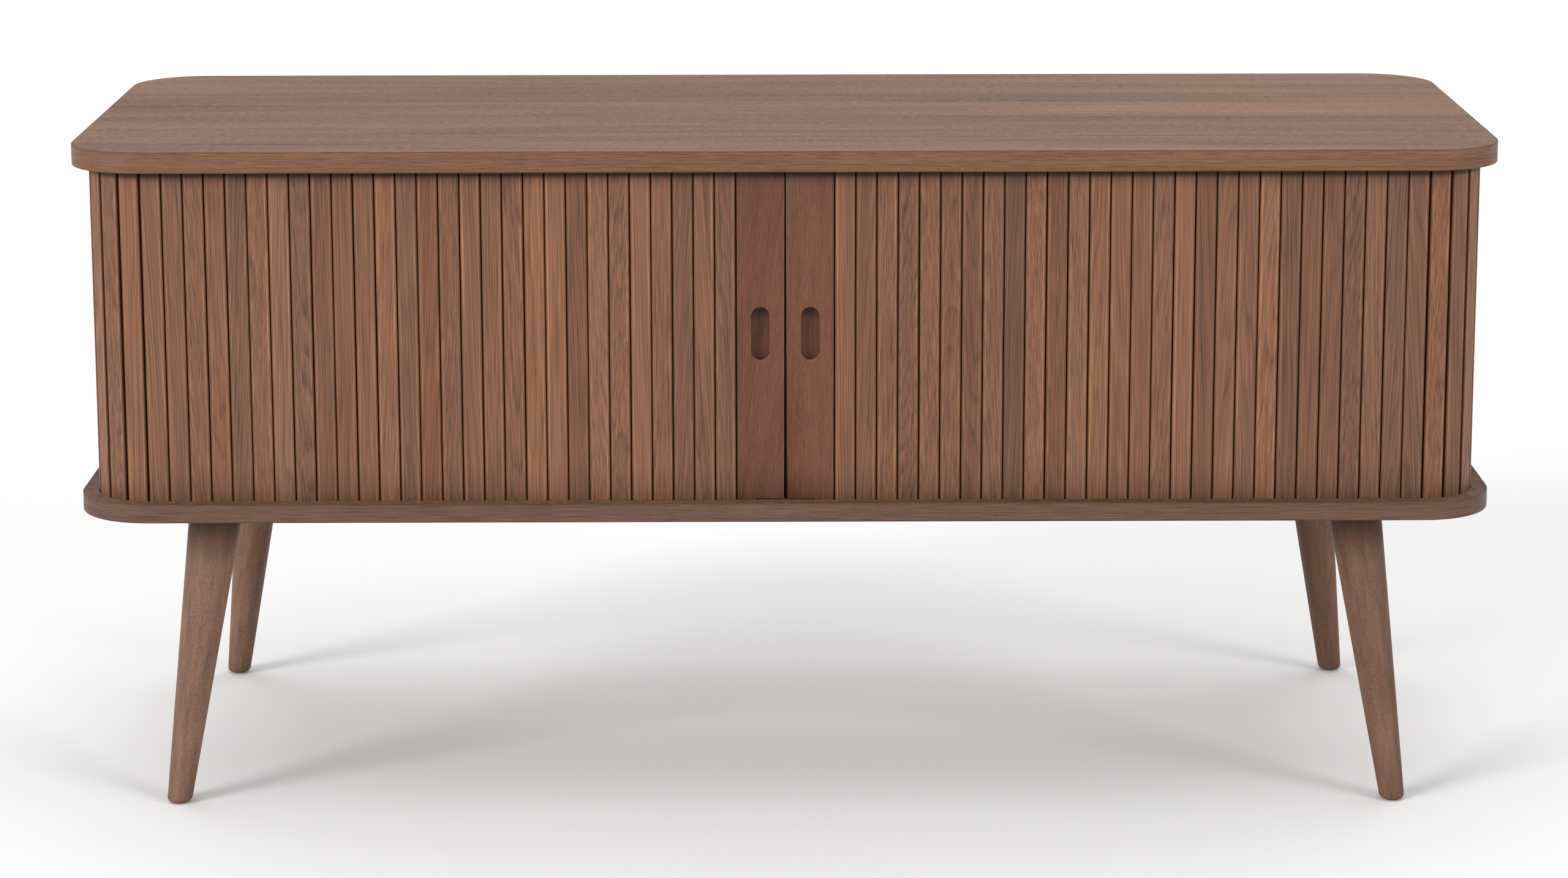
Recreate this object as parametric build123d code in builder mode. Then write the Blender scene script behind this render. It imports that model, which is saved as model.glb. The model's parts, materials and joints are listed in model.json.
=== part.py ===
from build123d import *

import os
from math import cos, radians, sin

# A media cabinet with two tambour doors, on four splayed legs. Millimetres.
# X is the width, -Y the front, +Z up; the origin is on the floor under the middle.

# Outside
WIDTH = 1200
DEPTH = 460
HEIGHT = 571
CORNER_RADIUS = 63
TOP_THICKNESS = 18
BOTTOM_THICKNESS = 16
BAND = 1.2
ARRIS = 0.8
LEG_HEIGHT = 255

FLOOR_Z = LEG_HEIGHT + BOTTOM_THICKNESS
CEILING_Z = HEIGHT - TOP_THICKNESS
CLEAR_HEIGHT = CEILING_Z - FLOOR_Z

# Tambour: the path is the outer face of the slats, the top's outline moved inwards
PATH_INSET = 14.2
SLAT_THICKNESS = 7.2
CANVAS = 0.8
SLAT_GAP = 1.6
SLAT_EASE = 0.7
STILE_REACH = 41.2
FRONT_SLATS = 28
SIDE_SLATS = 19
CORNER_SLATS = 4
PATH_RADIUS = CORNER_RADIUS - PATH_INSET
ARC_X = WIDTH / 2 - CORNER_RADIUS
ARC_Y = DEPTH / 2 - CORNER_RADIUS
PATH_Y = DEPTH / 2 - PATH_INSET
PITCH = (ARC_X - STILE_REACH) / FRONT_SLATS
SIDE_PITCH = 2 * ARC_Y / SIDE_SLATS
SLAT_WIDTH = PITCH - SLAT_GAP
CANVAS_LAP = 12
CANVAS_GAP = 0.3
CANVAS_END_GAP = 1

# Grooves that guide the tambour, routed in both boards and left solid across the middle
GROOVE_OUTER_GAP = 0.8
GROOVE_INNER_GAP = 1.4
BOTTOM_GROOVE = 6
TOP_GROOVE = 8
GROOVE_STOP = 23.5
TONGUE_START = 24.5
TONGUE_Z = FLOOR_Z - BOTTOM_GROOVE + 0.5
TONGUE_TOP_Z = CEILING_Z + TOP_GROOVE - 1.5

# Lead stiles, each with a blind finger pull
STILE_THICKNESS = 12
STILE_GAP = 0.5
STILE_LIFT = 1
PULL_X = 20.8
PULL_Z = FLOOR_Z + 0.506 * CLEAR_HEIGHT
PULL_WIDTH = 15.5
PULL_HEIGHT = 46
PULL_DEPTH = 8

# Inner carcass
PANEL = 16
FRONT_Y = 16.8 - PATH_Y
INNER_X = 530
INNER_BACK_Y = PATH_Y - 28.8
BACK_PANEL = 6
OUTER_BACK_Y = PATH_Y + 2.2
OUTER_BACK_REACH = 545
BACK_GROOVE = 3
SPACER_REACH = 22
SPACER_Z = 350
CABLE_Z = FLOOR_Z + 35
CABLE_HOLE_R = 25
CABLE_NOTCH = 68
GROMMET_R = 22
GROMMET_FLANGE_R = 29
GROMMET_FLANGE = 2

# Shelves and their pins
SHELF_GAP = 1
SHELF_FRONT_Y = FRONT_Y + 14
SHELF_BACK_Y = INNER_BACK_Y - 17
PIN_R = 2.5
PIN_LENGTH = 14
PIN_HOLE_DEPTH = 7
PIN_PITCH = 32
PIN_ROWS = 5
PIN_Y = (-150, 135)
PIN_MIDDLE_Z = 400

# Legs: a straight taper along an axis that leans out to the corner
FOOT_X = 522
FOOT_Y = 197.5
SPLAY = 34.5
LEG_TOP_X = FOOT_X - SPLAY
LEG_TOP_Y = FOOT_Y - SPLAY
LEG_TOP_R = 23.2
LEG_FOOT_R = 11
LEG_SPARE = 20
FOOT_ROUNDING = 4
PLATE_SIZE = 72
PLATE_THICKNESS = 2.5
PLATE_CORNER = 6
PLATE_SCREW_SPACING = 58
PLATE_SCREW_LENGTH = 12
GLIDE_HEIGHT = 1
GLIDE_R = 6
GLIDE_PIN_R = 1.5
GLIDE_PIN_LENGTH = 12
BOLT_R = 4
BOLT_IN_LEG = 45
BOLT_IN_BOARD = 10
BOLT_CLEARANCE = 0.5
INSERT_R = 6

# Carcass joinery
DOWEL_R = 4
DOWEL_Y = (-150, 100)
DOWEL_IN_BOARD = 10
DOWEL_IN_PANEL = 20
SCREW_Y = (-95, 45)
SCREW_R = 2.5
SCREW_HEAD_R = 5
SCREW_HEAD = 3
SCREW_LENGTH = 50
PLATE_SCREW_HEAD = 1.5
CAM_R = 7.5
CAM_DEPTH = 12.5
CAM_DROP = 34
CAM_BOLT_R = 3.5
CAM_BOLT_IN_TOP = 12
CAM_BOLT_GAP = 0.3
BACK_SCREW_Z = (380, 450, 520)
BACK_SCREW_R = 1.75
BACK_SCREW_HEAD_R = 3.5
BACK_SCREW_HEAD = 2
BACK_SCREW_LENGTH = 20

SIDES = {"left": -1, "right": 1}
ENDS = {"front": -1, "rear": 1}
UPRIGHTS_X = (-INNER_X - PANEL / 2, 0, INNER_X + PANEL / 2)
DOWEL_POINTS = [(x, y) for x in UPRIGHTS_X for y in DOWEL_Y]
SCREW_POINTS = [(x, y) for x in UPRIGHTS_X for y in SCREW_Y]

UNDERSIDE = Plane.XY.offset(LEG_HEIGHT)
FLOOR = Plane.XY.offset(FLOOR_Z)
CEILING = Plane.XY.offset(CEILING_Z)
os.makedirs("parts", exist_ok=True)


def save(piece, name):
    """Label a finished sub-part and write its STEP file."""
    piece.part.label = name
    export_step(piece.part, f"parts/{name}.step")


def outline(inset, mode=Mode.ADD):
    """The top's plan outline, moved inwards: boards, grooves and slats all follow it."""
    size_x = WIDTH - 2 * inset
    size_y = DEPTH - 2 * inset
    RectangleRounded(size_x, size_y, CORNER_RADIUS - inset, mode=mode)


def tambour_groove(plane, depth):
    """Cut the tambour's groove into the open part, downwards from a plane if depth is negative."""
    with BuildSketch(plane) as ring:
        outline(PATH_INSET - GROOVE_OUTER_GAP)
        outline(PATH_INSET + SLAT_THICKNESS + CANVAS + GROOVE_INNER_GAP, mode=Mode.SUBTRACT)
        Rectangle(2 * GROOVE_STOP, DEPTH, mode=Mode.SUBTRACT)
    extrude(ring.sketch, amount=depth, mode=Mode.SUBTRACT)


def back_groove(plane, depth):
    """Cut the shallow groove that holds the outer back panel into the open part."""
    with BuildSketch(plane) as strip:
        with Locations((0, OUTER_BACK_Y + BACK_PANEL / 2)):
            Rectangle(2 * OUTER_BACK_REACH, BACK_PANEL)
    extrude(strip.sketch, amount=depth, mode=Mode.SUBTRACT)


def pegs(plane, points, radius, length, mode=Mode.ADD):
    """Round pegs that stand on a plane, or the holes for them, in the open part."""
    with BuildSketch(plane) as discs:
        with Locations(*points):
            Circle(radius)
    extrude(discs.sketch, amount=length, mode=mode)


def screws(plane, points, radius, length, head_radius, head, mode=Mode.ADD):
    """Countersunk screws driven along a plane's normal, heads flush, or their holes."""
    with Locations(*[plane * Location((x, y, head / 2)) for x, y in points]):
        Cone(head_radius, radius, head, mode=mode)
    pegs(plane.offset(head), points, radius, length - head, mode)


def block(low, high, mode=Mode.ADD):
    """A plain board between two opposite corners, in the open part."""
    size = [b - a for a, b in zip(low, high)]
    with Locations(tuple((a + b) / 2 for a, b in zip(low, high))):
        Box(*size, mode=mode)


def edge_band(z, thickness):
    """The veneer band round a board's edge, with eased arrises."""
    with BuildPart() as band:
        with BuildSketch(Plane.XY.offset(z)):
            outline(0)
        extrude(amount=thickness)
        fillet(band.faces().filter_by(Axis.Z).edges(), ARRIS)
        with BuildSketch(Plane.XY.offset(z)):
            outline(BAND)
        extrude(amount=thickness, mode=Mode.SUBTRACT)
    return band


def leg_axis(side, end, height):
    """A plane across one leg's axis, centred where the axis is at the given height."""
    foot = Vector(side * FOOT_X, end * FOOT_Y, 0)
    top = Vector(side * LEG_TOP_X, end * LEG_TOP_Y, LEG_HEIGHT)
    return Plane(origin=foot + (top - foot) * (height / LEG_HEIGHT), z_dir=top - foot)


def leg_axes(height):
    """That plane on each of the four legs."""
    return [leg_axis(side, end, height) for side in SIDES.values() for end in ENDS.values()]


def leg_pegs(height, start, stop, radius, mode=Mode.ADD):
    """Round pegs along the four leg axes, measured from a height, in the open part."""
    for plane in leg_axes(height):
        pegs(plane.offset(start), [(0, 0)], radius, stop - start, mode)


# Top and bottom boards --------------------------------------------------------------------

with BuildPart() as top_panel:
    with BuildSketch(CEILING):
        outline(BAND)
    extrude(amount=TOP_THICKNESS)
    tambour_groove(CEILING, TOP_GROOVE)
    back_groove(CEILING, BACK_GROOVE)
    pegs(CEILING, DOWEL_POINTS, DOWEL_R, DOWEL_IN_BOARD, Mode.SUBTRACT)
    pegs(CEILING, SCREW_POINTS, CAM_BOLT_R, CAM_BOLT_IN_TOP, Mode.SUBTRACT)
save(top_panel, "top_panel")
save(edge_band(CEILING_Z, TOP_THICKNESS), "top_edge_band")

PLATE_SCREW_GRID = [
    (side * LEG_TOP_X + dx, end * LEG_TOP_Y + dy)
    for side in SIDES.values()
    for end in ENDS.values()
    for dx in (-PLATE_SCREW_SPACING / 2, PLATE_SCREW_SPACING / 2)
    for dy in (-PLATE_SCREW_SPACING / 2, PLATE_SCREW_SPACING / 2)
]
PLATE_FACE = UNDERSIDE.offset(-PLATE_THICKNESS)

with BuildPart() as bottom_panel:
    with BuildSketch(UNDERSIDE):
        outline(BAND)
    extrude(amount=BOTTOM_THICKNESS)
    tambour_groove(FLOOR, -BOTTOM_GROOVE)
    back_groove(FLOOR, -BACK_GROOVE)
    pegs(FLOOR, DOWEL_POINTS, DOWEL_R, -DOWEL_IN_BOARD, Mode.SUBTRACT)
    screws(UNDERSIDE, SCREW_POINTS, SCREW_R, SCREW_LENGTH, SCREW_HEAD_R, SCREW_HEAD, Mode.SUBTRACT)
    pegs(UNDERSIDE, PLATE_SCREW_GRID, SCREW_R, PLATE_SCREW_LENGTH - PLATE_THICKNESS, Mode.SUBTRACT)
    leg_pegs(LEG_HEIGHT, -LEG_SPARE, BOLT_IN_BOARD, INSERT_R, Mode.SUBTRACT)
save(bottom_panel, "bottom_panel")
save(edge_band(LEG_HEIGHT, BOTTOM_THICKNESS), "bottom_edge_band")

# Upright panels ---------------------------------------------------------------------------


def pin_points(rows):
    """Places of shelf pins on an upright's face, as depth and height."""
    middle = (PIN_ROWS - 1) / 2
    return [(y, PIN_MIDDLE_Z + (row - middle) * PIN_PITCH) for y in PIN_Y for row in rows]


def face_pegs(x, direction, points, radius, length, mode=Mode.ADD):
    """Round pegs or holes that run along X from an upright's face, at (depth, height) points."""
    with Locations(
        *[Location((x + direction * length / 2, y, z), (0, 90, 0)) for y, z in points]
    ):
        Cylinder(radius, length, mode=mode)


def upright_joinery(x):
    """Dowel and screw holes in the ends of the upright that is centred on x."""
    dowels = [(x, y) for y in DOWEL_Y]
    screw_line = [(x, y) for y in SCREW_Y]
    pegs(FLOOR, dowels, DOWEL_R, DOWEL_IN_PANEL, Mode.SUBTRACT)
    pegs(CEILING, dowels, DOWEL_R, -DOWEL_IN_PANEL, Mode.SUBTRACT)
    pegs(FLOOR, screw_line, SCREW_R, SCREW_LENGTH - BOTTOM_THICKNESS, Mode.SUBTRACT)
    pegs(CEILING, screw_line, CAM_BOLT_R, -CAM_DROP, Mode.SUBTRACT)


CAM_POINTS = [(y, CEILING_Z - CAM_DROP) for y in SCREW_Y]
ALL_ROWS = range(PIN_ROWS)
SHELF_ROW = [PIN_ROWS // 2]
CAM_FACES = [(-INNER_X, -1), (-PANEL / 2, 1), (INNER_X, 1)]

with BuildPart() as centre_partition:
    block((-PANEL / 2, FRONT_Y, FLOOR_Z), (PANEL / 2, INNER_BACK_Y, CEILING_Z))
    block(
        (-PANEL, INNER_BACK_Y - CABLE_NOTCH, LEG_HEIGHT),
        (PANEL, DEPTH / 2, FLOOR_Z + CABLE_NOTCH),
        mode=Mode.SUBTRACT,
    )
    upright_joinery(0)
    face_pegs(-PANEL / 2, 1, CAM_POINTS, CAM_R, CAM_DEPTH, Mode.SUBTRACT)
    for side in SIDES.values():
        face_pegs(
            side * PANEL / 2, -side, pin_points(ALL_ROWS), PIN_R, PIN_HOLE_DEPTH, Mode.SUBTRACT
        )
save(centre_partition, "centre_partition")

for name, side in SIDES.items():
    with BuildPart() as inner_side:
        near, far = sorted((side * INNER_X, side * (INNER_X + PANEL)))
        block((near, FRONT_Y, FLOOR_Z), (far, INNER_BACK_Y + BACK_PANEL, CEILING_Z))
        upright_joinery(side * (INNER_X + PANEL / 2))
        face_pegs(side * INNER_X, side, CAM_POINTS, CAM_R, CAM_DEPTH, Mode.SUBTRACT)
        face_pegs(
            side * INNER_X, side, pin_points(ALL_ROWS), PIN_R, PIN_HOLE_DEPTH, Mode.SUBTRACT
        )
    save(inner_side, f"{name}_inner_side")

    with BuildPart() as shelf:
        near, far = sorted((side * (PANEL / 2 + SHELF_GAP), side * (INNER_X - SHELF_GAP)))
        shelf_z = PIN_MIDDLE_Z + PIN_R
        block((near, SHELF_FRONT_Y, shelf_z), (far, SHELF_BACK_Y, shelf_z + PANEL))
    save(shelf, f"{name}_shelf")

    with BuildPart() as shelf_pins:
        points = pin_points(SHELF_ROW)
        face_pegs(side * (INNER_X + PIN_HOLE_DEPTH), -side, points, PIN_R, PIN_LENGTH)
        face_pegs(side * (PANEL / 2 - PIN_HOLE_DEPTH), side, points, PIN_R, PIN_LENGTH)
    save(shelf_pins, f"{name}_shelf_pins")

# Backs, with a cable outlet where the retracted tambours leave the middle free ----------------

BACK_SCREW_FACE = Plane(origin=(0, OUTER_BACK_Y + BACK_PANEL, 0), x_dir=(1, 0, 0), z_dir=(0, -1, 0))
BACK_SCREW_POINTS = [(0, z) for z in BACK_SCREW_Z]


def cable_hole(y, length, radius, mode=Mode.SUBTRACT):
    """A round hole, or a disc, through the backs at the cable outlet."""
    with Locations(Location((0, y + length / 2, CABLE_Z), (90, 0, 0))):
        Cylinder(radius, length, mode=mode)


def back_screws_in(mode):
    """The screws that hold the outer back to its spacer, or their holes."""
    screws(
        BACK_SCREW_FACE,
        BACK_SCREW_POINTS,
        BACK_SCREW_R,
        BACK_SCREW_LENGTH,
        BACK_SCREW_HEAD_R,
        BACK_SCREW_HEAD,
        mode,
    )


with BuildPart() as inner_back:
    block((-INNER_X, INNER_BACK_Y, FLOOR_Z), (INNER_X, INNER_BACK_Y + BACK_PANEL, CEILING_Z))
    cable_hole(INNER_BACK_Y, BACK_PANEL, CABLE_HOLE_R)
save(inner_back, "inner_back")

with BuildPart() as outer_back_panel:
    block(
        (-OUTER_BACK_REACH, OUTER_BACK_Y, FLOOR_Z - BACK_GROOVE),
        (OUTER_BACK_REACH, OUTER_BACK_Y + BACK_PANEL, CEILING_Z + BACK_GROOVE),
    )
    cable_hole(OUTER_BACK_Y, BACK_PANEL, CABLE_HOLE_R)
    back_screws_in(Mode.SUBTRACT)
save(outer_back_panel, "outer_back_panel")

with BuildPart() as rear_spacer:
    block(
        (-SPACER_REACH, INNER_BACK_Y + BACK_PANEL, SPACER_Z),
        (SPACER_REACH, OUTER_BACK_Y, CEILING_Z),
    )
    back_screws_in(Mode.SUBTRACT)
save(rear_spacer, "rear_spacer")

GROMMETS = {
    "inner_cable_grommet": (INNER_BACK_Y, INNER_BACK_Y - GROMMET_FLANGE),
    "outer_cable_grommet": (OUTER_BACK_Y, OUTER_BACK_Y + BACK_PANEL),
}
for name, (panel_y, flange_y) in GROMMETS.items():
    with BuildPart() as grommet:
        cable_hole(panel_y, BACK_PANEL, CABLE_HOLE_R, mode=Mode.ADD)
        cable_hole(flange_y, GROMMET_FLANGE, GROMMET_FLANGE_R, mode=Mode.ADD)
        cable_hole(INNER_BACK_Y - PANEL, DEPTH, GROMMET_R)
    save(grommet, name)

# Joinery hardware -------------------------------------------------------------------------

with BuildPart() as panel_dowels:
    for plane, inwards in ((FLOOR, 1), (CEILING, -1)):
        start = plane.offset(-inwards * DOWEL_IN_BOARD)
        pegs(start, DOWEL_POINTS, DOWEL_R, inwards * (DOWEL_IN_BOARD + DOWEL_IN_PANEL))
save(panel_dowels, "panel_dowels")

with BuildPart() as panel_screws:
    screws(UNDERSIDE, SCREW_POINTS, SCREW_R, SCREW_LENGTH, SCREW_HEAD_R, SCREW_HEAD)
save(panel_screws, "panel_screws")

with BuildPart() as cam_locks:
    for x, direction in CAM_FACES:
        face_pegs(x, direction, CAM_POINTS, CAM_R, CAM_DEPTH)
save(cam_locks, "cam_locks")

with BuildPart() as cam_bolts:
    bolt_z = CEILING_Z - CAM_DROP + CAM_R + CAM_BOLT_GAP
    bolt_length = CEILING_Z + CAM_BOLT_IN_TOP - bolt_z
    pegs(Plane.XY.offset(bolt_z), SCREW_POINTS, CAM_BOLT_R, bolt_length)
save(cam_bolts, "cam_bolts")

with BuildPart() as back_screws:
    back_screws_in(Mode.ADD)
save(back_screws, "back_screws")

# Legs -------------------------------------------------------------------------------------

for end_name, end in ENDS.items():
    for side_name, side in SIDES.items():
        name = f"{end_name}_{side_name}_leg"
        slope = (LEG_TOP_R - LEG_FOOT_R) / LEG_HEIGHT
        with BuildPart() as leg:
            with BuildSketch(leg_axis(side, end, 0).offset(-LEG_SPARE)):
                Circle(LEG_FOOT_R - slope * LEG_SPARE)
            with BuildSketch(leg_axis(side, end, LEG_HEIGHT).offset(LEG_SPARE)):
                Circle(LEG_TOP_R + slope * LEG_SPARE)
            loft()
            split(bisect_by=PLATE_FACE, keep=Keep.BOTTOM)
            split(bisect_by=Plane.XY.offset(GLIDE_HEIGHT), keep=Keep.TOP)
            fillet(leg.edges().group_by(Axis.Z)[0], FOOT_ROUNDING)
            leg_pegs(LEG_HEIGHT, -BOLT_IN_LEG, LEG_SPARE, BOLT_R, Mode.SUBTRACT)
            pegs(
                Plane.XY.offset(GLIDE_HEIGHT),
                [(side * FOOT_X, end * FOOT_Y)],
                GLIDE_PIN_R,
                GLIDE_PIN_LENGTH,
                Mode.SUBTRACT,
            )
        save(leg, name)

        with BuildPart() as plate:
            centre = (side * LEG_TOP_X, end * LEG_TOP_Y)
            with BuildSketch(PLATE_FACE):
                with Locations(centre):
                    RectangleRounded(PLATE_SIZE, PLATE_SIZE, PLATE_CORNER)
                    with GridLocations(PLATE_SCREW_SPACING, PLATE_SCREW_SPACING, 2, 2):
                        Circle(SCREW_R, mode=Mode.SUBTRACT)
            extrude(amount=PLATE_THICKNESS)
            leg_pegs(LEG_HEIGHT, -LEG_SPARE, LEG_SPARE, BOLT_R + BOLT_CLEARANCE, Mode.SUBTRACT)
        save(plate, f"{name}_plate")

with BuildPart() as leg_plate_screws:
    pegs(PLATE_FACE, PLATE_SCREW_GRID, SCREW_R, PLATE_SCREW_LENGTH)
    head_middle = PLATE_FACE.offset(-PLATE_SCREW_HEAD / 2)
    with Locations(*[head_middle * Location((x, y, 0)) for x, y in PLATE_SCREW_GRID]):
        Cone(SCREW_R, SCREW_HEAD_R, PLATE_SCREW_HEAD)
save(leg_plate_screws, "leg_plate_screws")

with BuildPart() as hanger_bolts:
    leg_pegs(LEG_HEIGHT, -BOLT_IN_LEG, BOLT_IN_BOARD, BOLT_R)
save(hanger_bolts, "hanger_bolts")

with BuildPart() as threaded_inserts:
    leg_pegs(LEG_HEIGHT, -LEG_SPARE, BOLT_IN_BOARD, INSERT_R)
    leg_pegs(LEG_HEIGHT, -LEG_SPARE, BOLT_IN_BOARD, BOLT_R, Mode.SUBTRACT)
    split(bisect_by=UNDERSIDE, keep=Keep.TOP)
save(threaded_inserts, "threaded_inserts")

FOOT_POINTS = [(side * FOOT_X, end * FOOT_Y) for side in SIDES.values() for end in ENDS.values()]
with BuildPart() as foot_glides:
    pegs(Plane.XY, FOOT_POINTS, GLIDE_R, GLIDE_HEIGHT)
    pegs(Plane.XY, FOOT_POINTS, GLIDE_PIN_R, GLIDE_HEIGHT + GLIDE_PIN_LENGTH)
save(foot_glides, "foot_glides")

# Tambour ----------------------------------------------------------------------------------


def front_stations(side):
    """Middles of the slats on the straight front run, from the stile outwards."""
    reach = [STILE_REACH + (i + 0.5) * PITCH for i in range(FRONT_SLATS)]
    return [Location((side * x, -PATH_Y, 0)) for x in reach]


def corner_stations(side, end):
    """Middles of the slats that are bent round one corner."""
    stations = []
    for i in range(CORNER_SLATS):
        turn = 90 * (i + 0.5) / CORNER_SLATS + (0 if end < 0 else 90)
        x = side * (ARC_X + PATH_RADIUS * sin(radians(turn)))
        y = end * ARC_Y - PATH_RADIUS * cos(radians(turn))
        stations.append(Location((x, y, 0), (0, 0, side * turn)))
    return stations


def side_stations(side):
    """Middles of the slats on the straight run along the cabinet's side."""
    reach = [-ARC_Y + (i + 0.5) * SIDE_PITCH for i in range(SIDE_SLATS)]
    return [Location((side * (ARC_X + PATH_RADIUS), y, 0), (0, 0, side * 90)) for y in reach]


def slat_run(stations):
    """Separate slats, one at each station, with the outer face on the path."""
    with BuildSketch() as profile:
        Rectangle(SLAT_WIDTH, SLAT_THICKNESS, align=(Align.CENTER, Align.MIN))
        chamfer(profile.vertices().group_by(Axis.Y)[0], SLAT_EASE)
    with BuildPart() as run:
        with BuildSketch(Plane.XY.offset(TONGUE_Z)):
            with Locations(*stations):
                add(profile.sketch)
        extrude(amount=TONGUE_TOP_Z - TONGUE_Z)
    return run


def stile_block(side, start, reach, thickness, low, high):
    """A block of the lead stile, between two distances from the middle of the front."""
    near, far = sorted((side * start, side * reach))
    block((near, -PATH_Y, low), (far, -PATH_Y + thickness, high))


for name, side in SIDES.items():
    save(slat_run(front_stations(side)), f"{name}_front_slats")
    save(slat_run(corner_stations(side, -1)), f"{name}_corner_slats")
    save(slat_run(side_stations(side)), f"{name}_side_slats")
    save(slat_run(corner_stations(side, 1)), f"{name}_rear_slats")

    canvas_low = FLOOR_Z + STILE_LIFT
    canvas_high = CEILING_Z - STILE_LIFT
    canvas_y = -PATH_Y + SLAT_THICKNESS
    with BuildPart() as front_canvas:
        near, far = sorted((side * (STILE_REACH - CANVAS_LAP), side * (ARC_X - CANVAS_GAP)))
        block((near, canvas_y, canvas_low), (far, canvas_y + CANVAS, canvas_high))
    save(front_canvas, f"{name}_front_canvas")

    with BuildPart() as tail_canvas:
        with BuildSketch(Plane.XY.offset(canvas_low)):
            outline(PATH_INSET + SLAT_THICKNESS)
            outline(PATH_INSET + SLAT_THICKNESS + CANVAS, mode=Mode.SUBTRACT)
            with Locations((side * (ARC_X + WIDTH / 2), 0)):
                Rectangle(WIDTH, DEPTH, mode=Mode.INTERSECT)
        extrude(amount=canvas_high - canvas_low)
    save(tail_canvas, f"{name}_tail_canvas")

    with BuildPart() as stile:
        outer = STILE_REACH - SLAT_GAP / 2
        body_low = FLOOR_Z + STILE_LIFT
        body_high = CEILING_Z - STILE_LIFT
        thick_reach = STILE_REACH - CANVAS_LAP - CANVAS_END_GAP
        stile_block(side, STILE_GAP, thick_reach, STILE_THICKNESS, body_low, body_high)
        stile_block(side, thick_reach, outer, SLAT_THICKNESS, body_low, body_high)
        stile_block(side, TONGUE_START, outer, SLAT_THICKNESS, TONGUE_Z, TONGUE_TOP_Z)
        pull_face = Plane(origin=(side * PULL_X, -PATH_Y, PULL_Z), x_dir=(1, 0, 0), z_dir=(0, -1, 0))
        with BuildSketch(pull_face):
            SlotOverall(PULL_HEIGHT, PULL_WIDTH, rotation=90)
        extrude(amount=-PULL_DEPTH, mode=Mode.SUBTRACT)
    save(stile, f"{name}_stile")
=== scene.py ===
"""A walnut tambour media cabinet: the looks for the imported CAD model. Metres, in the CAD's frame."""

import json
import math
import random

import bmesh
import bpy
import numpy as np
from mathutils import Matrix, Vector


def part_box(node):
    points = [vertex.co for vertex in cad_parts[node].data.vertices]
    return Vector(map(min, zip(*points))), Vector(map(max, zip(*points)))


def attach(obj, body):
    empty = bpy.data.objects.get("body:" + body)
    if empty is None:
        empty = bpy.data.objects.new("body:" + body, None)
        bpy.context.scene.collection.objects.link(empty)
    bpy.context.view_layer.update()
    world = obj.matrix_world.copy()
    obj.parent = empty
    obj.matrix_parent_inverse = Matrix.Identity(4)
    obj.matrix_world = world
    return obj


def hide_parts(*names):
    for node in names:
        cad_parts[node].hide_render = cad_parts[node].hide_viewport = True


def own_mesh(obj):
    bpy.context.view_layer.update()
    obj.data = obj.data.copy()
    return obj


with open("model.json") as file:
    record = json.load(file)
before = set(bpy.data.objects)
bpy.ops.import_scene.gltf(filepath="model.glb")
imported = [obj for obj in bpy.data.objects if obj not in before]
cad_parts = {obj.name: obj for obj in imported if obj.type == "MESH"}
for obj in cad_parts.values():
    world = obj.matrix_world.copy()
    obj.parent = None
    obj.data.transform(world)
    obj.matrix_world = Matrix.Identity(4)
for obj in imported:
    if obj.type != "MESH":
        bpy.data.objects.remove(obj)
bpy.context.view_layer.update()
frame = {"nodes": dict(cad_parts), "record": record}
MM = 0.001
SEED = 11
SIDES = {"left": -1, "right": 1}
ENDS = {"front": -1, "rear": 1}

# Places, read from the CAD ---------------------------------------------------------------------

top_low, top_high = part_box("top_edge_band")
bottom_low, bottom_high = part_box("bottom_edge_band")
front_low, front_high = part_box("right_front_slats")
canvas_low, canvas_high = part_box("right_front_canvas")
pull = next(o for o in frame["record"]["physics"]["openings"] if o["name"] == "left_finger_pull")
pull_low, pull_high = pull["box_m"]

# The slats' outer faces follow one path: straight along the front from STILE_REACH, round an arc
# of PATH_RADIUS about (ARC_X, ARC_Y), straight along the side, and round the same arc at the rear
SLAT_GAP = 1.6 * MM
FRONT_SLATS = 28
CORNER_SLATS = 4
ARC_X = front_high.x + SLAT_GAP / 2
STILE_REACH = front_low.x - SLAT_GAP / 2
PATH_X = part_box("right_side_slats")[1].x
PATH_Y = -front_low.y
PATH_RADIUS = PATH_X - ARC_X
ARC_Y = PATH_Y - PATH_RADIUS
PITCH = (ARC_X - STILE_REACH) / FRONT_SLATS
SIDE_SLATS = round(2 * ARC_Y / PITCH)
SIDE_PITCH = 2 * ARC_Y / SIDE_SLATS
SLAT_THICKNESS = front_high.y - front_low.y
CANVAS_THICKNESS = canvas_high.y - canvas_low.y
FLOOR_Z = bottom_high.z
CEILING_Z = top_low.z
BAND = top_high.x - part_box("top_panel")[1].x
LEG_TOP_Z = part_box("front_right_leg_plate")[0].z
GLIDE_RADIUS = 6 * MM
GLIDE_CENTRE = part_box("foot_glides")[1] - Vector((GLIDE_RADIUS, GLIDE_RADIUS, 0))
PULL_X = abs(pull_low[0] + pull_high[0]) / 2
PULL_FOOT_Z = pull_low[2]
PULL_SHOULDER_Z = pull_high[2]

# Node helpers ----------------------------------------------------------------------------------


def feed(tree, socket, value):
    """Give an input a constant, or link it to another node's output socket."""
    if isinstance(value, bpy.types.NodeSocket):
        tree.links.new(value, socket)
    else:
        socket.default_value = value


def make(tree, kind, inputs=None, **settings):
    """A shader node. Its inputs are given by name or by number."""
    node = tree.nodes.new("ShaderNode" + kind)
    for name, value in settings.items():
        setattr(node, name, value)
    for name, value in (inputs or {}).items():
        feed(tree, node.inputs[name], value)
    return node


def calc(tree, operation, a, b=0.0, c=0.0):
    """The result of one Math node."""
    return make(tree, "Math", {0: a, 1: b, 2: c}, operation=operation).outputs[0]


def product(tree, first, *others):
    """Values multiplied together."""
    for value in others:
        first = calc(tree, "MULTIPLY", first, value)
    return first


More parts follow.
